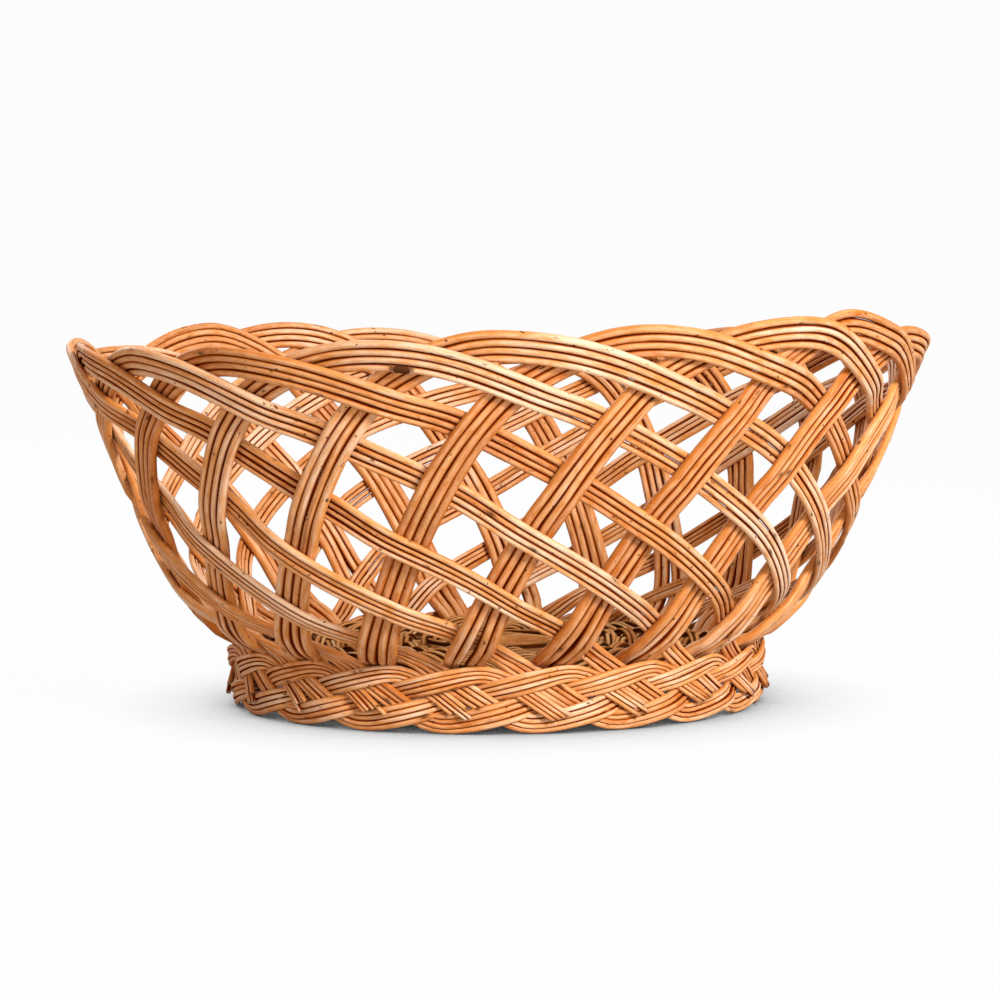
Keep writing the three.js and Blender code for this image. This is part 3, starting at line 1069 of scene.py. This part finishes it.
@dataclass
class WovenBase:
    """The base: crossed sticks, their binding and the weavers round them, with sizes in millimetres.

    The weavers' thickness is the height that a pair takes over a stick. The sticks have fanned out at
    the fan radius. The starts are the radii of the innermost rounds, and fit is the clearance between
    pieces.
    """

    plan: WeavePlan
    materials: Materials
    stick_thickness: float = 4.5
    weaver_thickness: float = 3.2
    row_pitch: float = 4.0
    binding_thickness: float = 2.4
    fan_radius: float = 37.985
    binding_start: float = 23.8
    binding_rows: int = 3
    weaving_start: float = 30.8
    fit: float = 0.35
    seed: int = 7
    # Faces round a stick and round a thin rod.
    stick_sides: int = 12
    thin_sides: int = 8
    # How far sticks have spread where they start to fan out, and the distance between their points.
    fan_start: float = 1.28
    point_gap: float = 2.5
    # Girth of a split half beside a whole stick, its seat, its gap, and its way back to level.
    split_girth: float = 0.74
    split_seat: float = 0.55
    split_gap: float = 0.28
    split_reach: float = 11.0
    # Radius of the binding beside its thickness, its pitch, and how soon it changes sides.
    binding_fill: float = 0.43
    binding_pitch: float = 2.1
    binding_change: float = 0.22
    # For the weavers beside their pitch: radius, place of a rod in its pair, and margin at the edge.
    weaver_fill: float = 0.268
    pair_offset: float = 0.25
    edge_margin: float = 0.35
    # How flat the weavers' waves are, and the painted light on top of a spoke, with painted shade where
    # a weaver passes under one.
    wave_power: float = 0.75
    over_spoke_shading: float = 0.15

    @cached_property
    def turn(self) -> float:
        """Angle of the first stick, which points at the root of a strand."""
        plan = self.plan
        root = plan.side_turn(-plan.root_count) * plan.strand_turn
        return math.radians(plan.first_crest_degrees) + root

    @cached_property
    def sticks(self) -> int:
        """Number of sticks in each of the two crossed sets."""
        return self.plan.strand_count // 4

    def _half_path(self, index: float) -> list[tuple[float, float]]:
        """Return the corners of a stick from its end to the middle."""
        pitch = self.stick_thickness + self.fit
        half = (self.sticks - 1) / 2 * pitch + self.stick_thickness / 2
        fan = index * self.plan.strand_turn
        reach = self.plan.base_radius - self.plan.root_length - 2 * self.fit
        offset = index * pitch
        return [
            (reach * math.cos(fan), reach * math.sin(fan)),
            (self.fan_radius * math.cos(fan), self.fan_radius * math.sin(fan)),
            (half + 2 * self.stick_thickness, offset * self.fan_start),
            (half + 3 * self.fit, offset),
        ]

    def _stick_run(self, index: float, quarter: int, lift: float, girth: float) -> RodRun:
        """Return the path of a stick, or of one half of a split stick.

        Args:
            index: Place of the stick in its set, 0 in the middle.
            quarter: Quarter turns of the set.
            lift: Height of the half over the crossed sticks at the middle.
            girth: Half thickness.

        Returns:
            The path from end to end.
        """
        half = self._half_path(index)
        corners = [(-x, y) for x, y in half] + half[::-1]
        middle = half[-1][0]
        apart = math.copysign(self.split_gap * girth, lift) if lift else 0.0
        points = []
        for (x0, y0), (x1, y1) in zip(corners, corners[1:]):
            steps = max(2, round(math.hypot(x1 - x0, y1 - y0) / self.point_gap))
            for k in range(steps):
                x, y = lerp(x0, x1, k / steps), lerp(y0, y1, k / steps)
                rise = lift * (1 - smoothstep(abs(x), middle, middle + self.split_reach))
                points.append(Vector((x, y, self.plan.base_height + rise + apart)))
        points.append(Vector((*corners[-1], points[0].z)))
        turned = turning(self.turn + quarter * QUARTER)
        return RodRun.level([turned @ point for point in points], girth).relaxed(6)

    def _build_sticks(self) -> None:
        """Make the through sticks, and the split sticks as two halves round them."""
        draw = random.Random(self.seed)
        girth = self.stick_thickness / 2
        over = girth + self.fit + girth * self.split_seat
        kinds = (("through", girth, (0.0,)), ("split", girth * self.split_girth, (over, -over)))
        for number in range(1, self.sticks + 1):
            index = number - (self.sticks + 1) / 2
            for quarter, (kind, size, lifts) in enumerate(kinds):
                name = f"stick_{kind}_{number}"
                bundle = RodBundle(name, self.stick_sides)
                tone = draw.uniform(0.3, 0.6)
                for lift in lifts:
                    mark = RodMark(tone, (False, False), draw.randrange(SEEDS))
                    bundle.add(self._stick_run(index, quarter, lift, size), mark)
                bundle.finish(self.materials, BASE_WILLOW.name, f"base_{name}")

    def _build_binding(self) -> None:
        """Make the thin rods that bind the crossed sticks."""
        draw = random.Random(self.seed + 1)
        bundle = RodBundle("binding", self.thin_sides)
        lift = (self.stick_thickness + self.binding_thickness) / 2 + 2 * self.fit
        radius = self.binding_thickness * self.binding_fill
        steps, share_bound = 160, 0.995
        for row in range(self.binding_rows):
            out = self.binding_start + self.binding_pitch * row * radius
            turned = turning(self.turn + (row % 2) * QUARTER)
            points = []
            for k in range(steps + 1):
                angle = 2 * math.pi * k / steps * share_bound
                wave = math.cos(2 * angle)
                side = math.copysign(smoothstep(abs(wave), 0.0, self.binding_change), wave)
                spot = polar(out, angle + QUARTER, self.plan.base_height + side * lift)
                points.append(turned @ spot)
            mark = RodMark(draw.uniform(0.35, 0.6), (True, True), draw.randrange(SEEDS))
            bundle.add(RodRun.level(points, radius).relaxed(2), mark)
        bundle.finish(self.materials, BASE_WILLOW.name, "base_binding")

    def _build_weavers(self) -> None:
        """Make the two spirals of paired rods that take opposite sides of each spoke."""
        plan, pitch = self.plan, self.row_pitch
        draw = random.Random(self.seed + 2)
        finish = plan.base_radius - pitch * self.edge_margin
        spokes = int((finish - self.weaving_start - pitch) / (2 * pitch) * plan.strand_count)
        lift = (self.stick_thickness + self.weaver_thickness) / 2 + self.fit
        turned = turning(self.turn)
        per_spoke = 8
        for first, letter in enumerate("ab"):
            bundle = RodBundle(f"weavers_{letter}", self.thin_sides)
            for row in (-1, 1):
                stray = Wobble.drawn(draw, size=0.35, pace=1.7)
                rise = Wobble.drawn(draw, size=0.2, pace=1.3)
                tint = Wobble.drawn(draw, size=0.5, pace=0.3)
                points, paleness, layer_shading = [], [], []
                for k in range(spokes * per_spoke + 1):
                    spoke = k / per_spoke
                    wave = math.cos(math.pi * (spoke + first))
                    side = math.copysign(abs(wave) ** self.wave_power, wave)
                    out = self.weaving_start + first * pitch + 2 * pitch * spoke / plan.strand_count
                    out += row * pitch * self.pair_offset + stray.at(spoke)
                    angle = spoke * plan.strand_turn
                    height = plan.base_height + side * (lift + rise.at(spoke))
                    spot = Vector((out * math.cos(angle), out * math.sin(angle), height))
                    points.append(turned @ spot)
                    paleness.append(tint.at(spoke))
                    # Painted light where the weaver lies over a spoke and painted shade where it passes
                    # under.
                    layer_shading.append(self.over_spoke_shading * side)
                run = RodRun.level(points, pitch * self.weaver_fill * draw.uniform(0.95, 1.1))
                mark = RodMark(draw.uniform(0.2, 0.6), (True, True), draw.randrange(SEEDS))
                bundle.add(replace(run, paleness=paleness, layer_shading=layer_shading), mark)
            bundle.finish(self.materials, BASE_WILLOW.name, f"base_weaver_{letter}")

    def build(self) -> None:
        """Make the whole base."""
        self._build_sticks()
        self._build_binding()
        self._build_weavers()


@dataclass(frozen=True)
class Lamp:
    """A soft rectangular lamp, with its place, width and height in metres and its power in watts."""

    name: str
    place: tuple[float, float, float]
    size: tuple[float, float]
    power: float
    colour: Colour = (1.0, 1.0, 1.0)

    def hang(self, target: Vector) -> None:
        """Add the lamp to the scene, facing a target."""
        light = bpy.data.lights.new(self.name, "AREA")
        light.shape = "RECTANGLE"
        light.size, light.size_y = self.size
        light.energy = self.power
        light.color = self.colour
        lamp = add_object(self.name, light)
        lamp.location = self.place
        lamp.rotation_euler = (target - lamp.location).to_track_quat("-Z", "Y").to_euler()


LAMPS = (
    Lamp("key", (1.0, -1.4, 0.95), (0.5, 0.5), 57),
    Lamp("fill", (0.2, -1.7, 0.25), (1.0, 0.4), 6),
    Lamp("bounce", (-1.3, -0.9, 0.45), (1.0, 0.8), 6, (1.0, 0.72, 0.45)),
    Lamp("top", (0.1, 0.35, 1.5), (1.2, 1.2), 9),
    Lamp("back", (-0.9, 1.6, 0.9), (1.0, 1.0), 20),
)


@dataclass
class Studio:
    """Pale floor and backdrop, soft lamps and the camera of the photograph, with lengths in metres.

    The lamps face the target. The floor sweeps up into the backdrop. The camera stands at a distance,
    and aside to the right, with a lens in millimetres. It tilts down and rolls its left side down, in
    degrees.
    """

    lamps: Sequence[Lamp] = LAMPS
    target: tuple[float, float, float] = (0.0, 0.0, 0.07)
    floor_reach: float = 3.0
    sweep: float = 1.2
    distance: float = 1.056
    eye_height: float = 0.137
    aside: float = 0.0016
    lens: float = 100.0
    film_width: float = 36.0
    tilt: float = 3.32
    roll: float = 0.4

    def build(self) -> None:
        """Make the floor, the lamps, the world and the camera."""
        self._floor()
        self._world()
        for lamp in self.lamps:
            lamp.hang(Vector(self.target))
        self._camera()

    def _floor(self) -> None:
        """Make a floor that sweeps up into a backdrop."""
        mesh = bmesh.new()
        bmesh.ops.create_grid(mesh, x_segments=1, y_segments=1, size=self.floor_reach)
        far = [edge for edge in mesh.edges if all(vert.co.y > 0 for vert in edge.verts)]
        wall = bmesh.ops.extrude_edge_only(mesh, edges=far)["geom"]
        top = [item for item in wall if isinstance(item, bmesh.types.BMVert)]
        bmesh.ops.translate(mesh, verts=top, vec=(0, 0, self.floor_reach))
        bmesh.ops.bevel(
            mesh, geom=far, offset=self.sweep, offset_type="OFFSET", segments=16, profile=0.5,
            affect="EDGES", material=-1,
        )
        for face in mesh.faces:
            face.smooth = True
        floor = add_mesh("floor", mesh, [self._paper()])

    @staticmethod
    def _paper() -> bpy.types.Material:
        """Return the floor's material, white to the eye with a soft shadow under the basket."""
        shader = Shader(bpy.data.materials.new("pale_floor"))
        paper = shader.node("BsdfDiffuse", {"Color": (0.55, 0.55, 0.55, 1)})
        open_sky = shader.node("AmbientOcclusion", {"Distance": 0.06}, samples=8)
        greys = [(share, (grey, grey, grey)) for share, grey in ((0.2, 0.0), (0.5, 0.8), (0.85, 1.0))]
        glow = shader.node("Emission", {"Color": shader.ramp(shader.output(open_sky, "AO"), greys)})
        return shader.surface(shader.node("MixShader", {
            0: shader.seen() * 0.97,
            1: shader.output(paper, 0),
            2: shader.output(glow, 0),
        }))

    @staticmethod
    def _world() -> None:
        """Make a weak even light from all round that looks white to the eye."""
        shader = Shader(bpy.data.worlds.new("studio"))
        strength = 0.06 + shader.seen() * 0.94
        sky = shader.node("Background", {"Color": (1, 1, 1, 1), "Strength": strength})
        bpy.context.scene.world = shader.surface(sky)

    def _camera(self) -> None:
        """Place the camera at the photograph's viewing angle."""
        data = bpy.data.cameras.new("camera")
        data.lens = self.lens
        data.sensor_width = self.film_width
        camera = add_object("camera", data)
        level = Matrix.Rotation(math.radians(90 - self.tilt), 4, "X")
        rolled = level @ Matrix.Rotation(math.radians(-self.roll), 4, "Z")
        eye = Matrix.Translation((self.aside, -self.distance, self.eye_height))
        camera.matrix_world = eye @ rolled
        bpy.context.scene.camera = camera


SIDE_WILLOW = WillowFinish(
    name="side_willow",
    brown=(0.42, 0.112, 0.012),
    golden=(0.59, 0.232, 0.062),
    pale=(0.71, 0.49, 0.33),
    # Painted shade between rods, also the colour of hairline cracks.
    groove_shade=(0.13, 0.01, 0.0006),
    speck=(0.07, 0.022, 0.007),
    roughness=0.5,
    varnish=0.3,
)
BASE_WILLOW = WillowFinish(
    name="base_willow",
    brown=(0.34, 0.1, 0.018),
    golden=(0.58, 0.24, 0.066),
    pale=(0.72, 0.44, 0.2),
    # Painted shade between rods, also the colour of hairline cracks.
    groove_shade=(0.06, 0.015, 0.003),
    speck=(0.05, 0.02, 0.008),
    roughness=0.55,
    varnish=0.12,
)
CUT_WOOD = CutFinish("cut_wood", (0.62, 0.42, 0.22), (0.3, 0.15, 0.06))
PITH = CutFinish("pith", (0.16, 0.07, 0.03), (0.05, 0.02, 0.01))
# Read off a fit to the openings in the photograph, rounded to halves and then changed one by one.
SIDE_STRAYS = (
    Stray(-180, lift=-4.0, turn=-3.0, sag=1.0),
    Stray(-150, lift=4.0, turn=-1.0, sag=-4.0),
    Stray(-132, lift=4.5, turn=-1.5, sag=-4.0),
    Stray(-108, lift=-5.0, turn=1.0, sag=-2.0),
    Stray(-90, lift=-2.0, turn=1.5, sag=0.5),
    Stray(-60, lift=-5.0, turn=2.5, sag=7.0),
    Stray(-30, lift=-5.0, turn=0.5, sag=8.0),
    Stray(0, lift=-0.5, turn=0.5, sag=3.0),
    Stray(30, lift=1.5, turn=0.0, sag=0.5),
    Stray(48, lift=6.5, turn=-0.5, sag=0.0),
    Stray(60, lift=2.5, turn=0.0, sag=1.5),
    Stray(76, lift=-1.0, turn=0.0, sag=2.0),
    Stray(90, lift=-1.0, turn=0.5, sag=3.0),
    Stray(120, lift=3.0, turn=-1.0, sag=6.0),
    Stray(150, lift=0.5, turn=-0.5, sag=5.0),
    Stray(180, lift=-4.0, turn=-3.0, sag=1.0),
)
KNOTS = {(20, 0): 0.6}


def main() -> None:
    """Build the studio and the basket's side and base."""
    logging.basicConfig(level=logging.INFO, format="%(name)s: %(message)s")
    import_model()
    bpy.context.scene.view_settings.view_transform = "Standard"
    Studio().build()
    ends = [CUT_WOOD.material(), PITH.material()]
    plan = WeavePlan()
    SideStrands(plan, [SIDE_WILLOW.material(), *ends], SIDE_STRAYS, KNOTS).build()
    WovenBase(plan, [BASE_WILLOW.material(), *ends]).build()
    bpy.context.view_layer.update()


if __name__ == "__main__":
    main()
